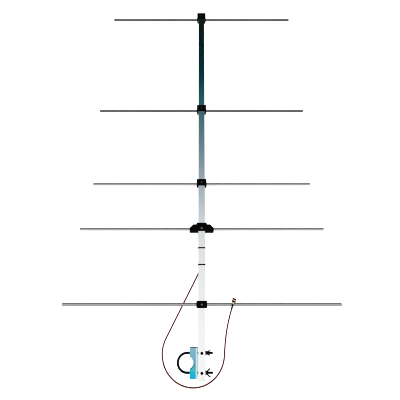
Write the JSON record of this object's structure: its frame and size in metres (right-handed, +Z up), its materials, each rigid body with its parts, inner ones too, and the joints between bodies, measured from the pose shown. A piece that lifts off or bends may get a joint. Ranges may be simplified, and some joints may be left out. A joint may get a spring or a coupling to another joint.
{
  "type": "yagi antenna",
  "caption": "Directional VHF yagi antenna: square boom with reflector, dipole housing and directors, coaxial pigtail with threaded plug, and a U-bolt mast clamp.",
  "frame": {"origin": "on the axis of the mast held in the clamp, at the height of the boom's centre line", "axes": "+Y along the boom in the direction of radiation, +X to the right along the elements, +Z up along the mast"},
  "size_m": [1.03, 1.5721, 0.0541],
  "materials": {
    "boom": "extruded, satin",
    "boom_cap": "moulded light grey",
    "element": "drawn tube, fine draw lines",
    "end_plug": "moulded grey",
    "holder": "moulded black, UV resistant",
    "sleeve": "natural moulded insulator",
    "screw": "stainless",
    "housing": "moulded black, UV resistant",
    "seal": "black rubber",
    "lug": "tinned",
    "lead_black": "insulated wire",
    "lead_white": "insulated wire",
    "cable_jacket": "translucent red-brown fluoropolymer jacket",
    "cable_braid": "silver-plated braid",
    "cable_dielectric": "white dielectric",
    "cable_core": "copper",
    "cable_tie": "black nylon",
    "heat_shrink": "black heat-shrink sleeve",
    "ferrule": "nickel plated",
    "plug": "gold plated",
    "plug_insulator": "white fluoropolymer",
    "u_bolt": "black coated steel",
    "washer": "black coated steel",
    "saddle": "blue passivated zinc plate"
  },
  "bodies": {
    "antenna": {"boom": "boom", "boom_front_cap": "boom_cap", "boom_rear_cap": "boom_cap", "cable_braid": "cable_braid", "cable_core": "cable_core", "cable_dielectric": "cable_dielectric", "cable_jacket": "cable_jacket", "cable_seal": "seal", "cable_tie_front": "cable_tie", "cable_tie_rear": "cable_tie", "crimp_ferrule": "ferrule", "dipole_base": "housing", "dipole_cover": "housing", "dipole_cover_screw": "screw", "dipole_left_half": "element", "dipole_right_half": "element", "director_1_element": "element", "director_1_holder": "holder", "director_2_element": "element", "director_2_holder": "holder", "director_3_element": "element", "director_3_holder": "holder", "element_end_plugs": "end_plug", "element_sleeves": "sleeve", "ground_lead": "lead_black", "heat_shrink": "heat_shrink", "holder_screws": "screw", "housing_gasket": "seal", "housing_screws": "screw", "plug_body": "plug", "plug_centre_pin": "plug", "plug_insulator": "plug_insulator", "reflector_element": "element", "reflector_holder": "holder", "signal_lead": "lead_white", "terminal_lugs": "lug", "terminal_screws": "screw", "washers": "washer"},
    "u_bolt": {"u_bolt": "u_bolt"},
    "mast_saddle": {"mast_saddle": "saddle"},
    "upper_wing_nut": {"upper_wing_nut": "u_bolt"},
    "lower_wing_nut": {"lower_wing_nut": "u_bolt"},
    "plug_coupling_ring": {"plug_coupling_ring": "plug"}
  },
  "joints": [
    {"name": "upper_wing_nut_spin", "type": "hinge", "parent": "antenna", "child": "upper_wing_nut", "pos_m": [0.0687, 0.03225, 0], "axis": [-1, 0, 0], "range_deg": [-3460, 2884]},
    {"name": "lower_wing_nut_spin", "type": "hinge", "parent": "antenna", "child": "lower_wing_nut", "pos_m": [0.0687, -0.03225, 0], "axis": [-1, 0, 0], "range_deg": [-3460, 2884]},
    {"name": "u_bolt_slide", "type": "slide", "parent": "antenna", "child": "u_bolt", "axis": [1, 0, 0], "range_m": [-0.012, 0.01]},
    {"name": "mast_saddle_slide", "type": "slide", "parent": "antenna", "child": "mast_saddle", "axis": [1, 0, 0], "range_m": [-0.015, 0.0024]},
    {"name": "plug_coupling_ring_spin", "type": "hinge", "parent": "antenna", "child": "plug_coupling_ring", "pos_m": [0.16844, 0.19792, 0.0094], "axis": [0.309, 0.9511, 0], "continuous": true}
  ],
  "couplings": [
    {"joint": "upper_wing_nut_spin", "follows": "u_bolt_slide", "rad_per_m": 5026.5},
    {"joint": "lower_wing_nut_spin", "follows": "u_bolt_slide", "rad_per_m": 5026.5}
  ]
}
